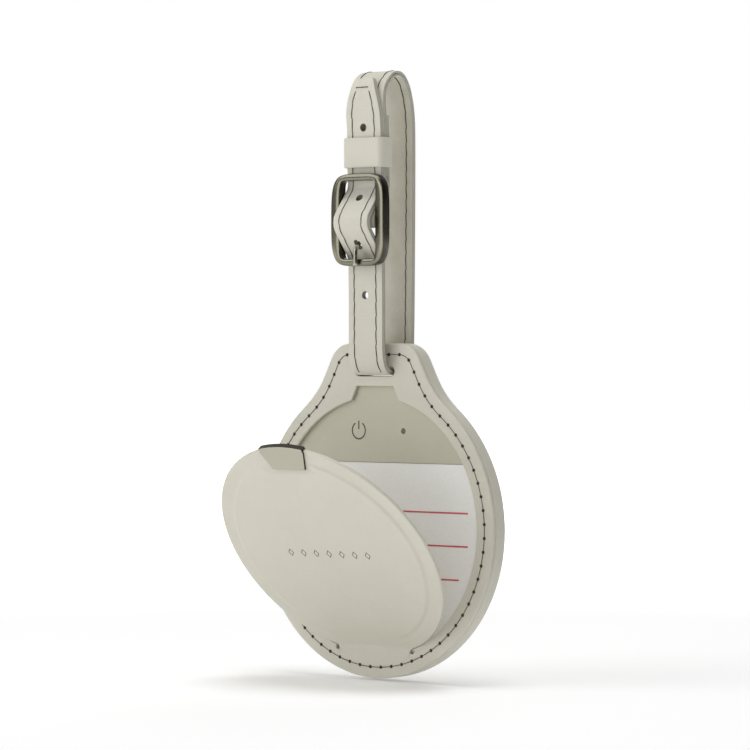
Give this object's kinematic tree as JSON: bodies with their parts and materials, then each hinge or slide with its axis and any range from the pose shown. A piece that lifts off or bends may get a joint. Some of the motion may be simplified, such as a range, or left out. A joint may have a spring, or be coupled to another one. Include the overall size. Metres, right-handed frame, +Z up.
{
  "type": "bluetooth tracker tag",
  "caption": "Leather luggage tag with a buckled strap, a bent-open front flap with a metal clip, an ID card and a tracker sealed inside.",
  "frame": {"origin": "inside the top of the strap loop, on the strap's lower face, where a bag's handle bears", "axes": "+Z up along the strap, -Y out of the front that the flap covers, +X to the right seen from the front"},
  "size_m": [0.0748, 0.0448, 0.1501],
  "materials": {
    "leather": "matt pebbled grain",
    "lining": "matt",
    "metal": "polished champagne plate",
    "cover": "smooth matt",
    "paper": "matt printed card",
    "board": "solder mask",
    "dark": "moulded",
    "steel": "satin",
    "copper": "enamelled wire",
    "ceramic": "glazed",
    "clear": "clear",
    "pouch": "foil pouch",
    "core": "fibre board"
  },
  "bodies": {
    "strap": {"strap_face": "leather", "strap_lining": "lining"},
    "keeper": {"keeper_loop": "leather"},
    "buckle": {"buckle_frame": "metal", "buckle_bar": "metal"},
    "prong": {"buckle_prong": "metal"},
    "tag": {"front_panel": "leather", "back_panel": "leather", "spacer_frame": "core", "inner_cover": "cover", "id_card": "paper", "light_pipe": "clear", "housing_tray": "dark", "circuit_board": "board", "board_screw_1": "steel", "board_screw_2": "steel", "board_screw_3": "steel", "bluetooth_chip": "dark", "chip_antenna": "ceramic", "status_led": "ceramic", "tact_switch": "steel", "catch_magnet": "steel", "piezo_buzzer": "ceramic", "battery": "pouch", "ferrite_sheet": "dark", "charging_coil": "copper"},
    "flap": {"flap_leather": "leather", "flap_lining": "lining", "flap_clip": "metal"},
    "button": {"power_button": "cover"}
  },
  "joints": [
    {"name": "tag_swing", "type": "hinge", "parent": "strap", "child": "tag", "pos_m": [0, 0, -0.07285], "axis": [1, 0, 0], "range_deg": [-4, 4]},
    {"name": "flap_hinge", "type": "hinge", "parent": "tag", "child": "flap", "pos_m": [0, -0.0025, -0.1406], "axis": [1, 0, 0], "range_deg": [-35.25, 85]},
    {"name": "power_press", "type": "slide", "parent": "tag", "child": "button", "axis": [0, 1, 0], "range_m": [0, 0.0003], "stiffness_N_per_m": 800, "springref_m": -0.0003},
    {"name": "buckle_tilt", "type": "hinge", "parent": "strap", "child": "buckle", "pos_m": [0, -0.00835, -0.0363], "axis": [1, 0, 0], "range_deg": [0, 1]},
    {"name": "prong_lift", "type": "hinge", "parent": "buckle", "child": "prong", "pos_m": [0, -0.00835, -0.0363], "axis": [-1, 0, 0], "range_deg": [0, 4]},
    {"name": "keeper_slide", "type": "slide", "parent": "strap", "child": "keeper", "axis": [0, 0, 1], "range_m": [-0.0008, 0.002]}
  ]
}
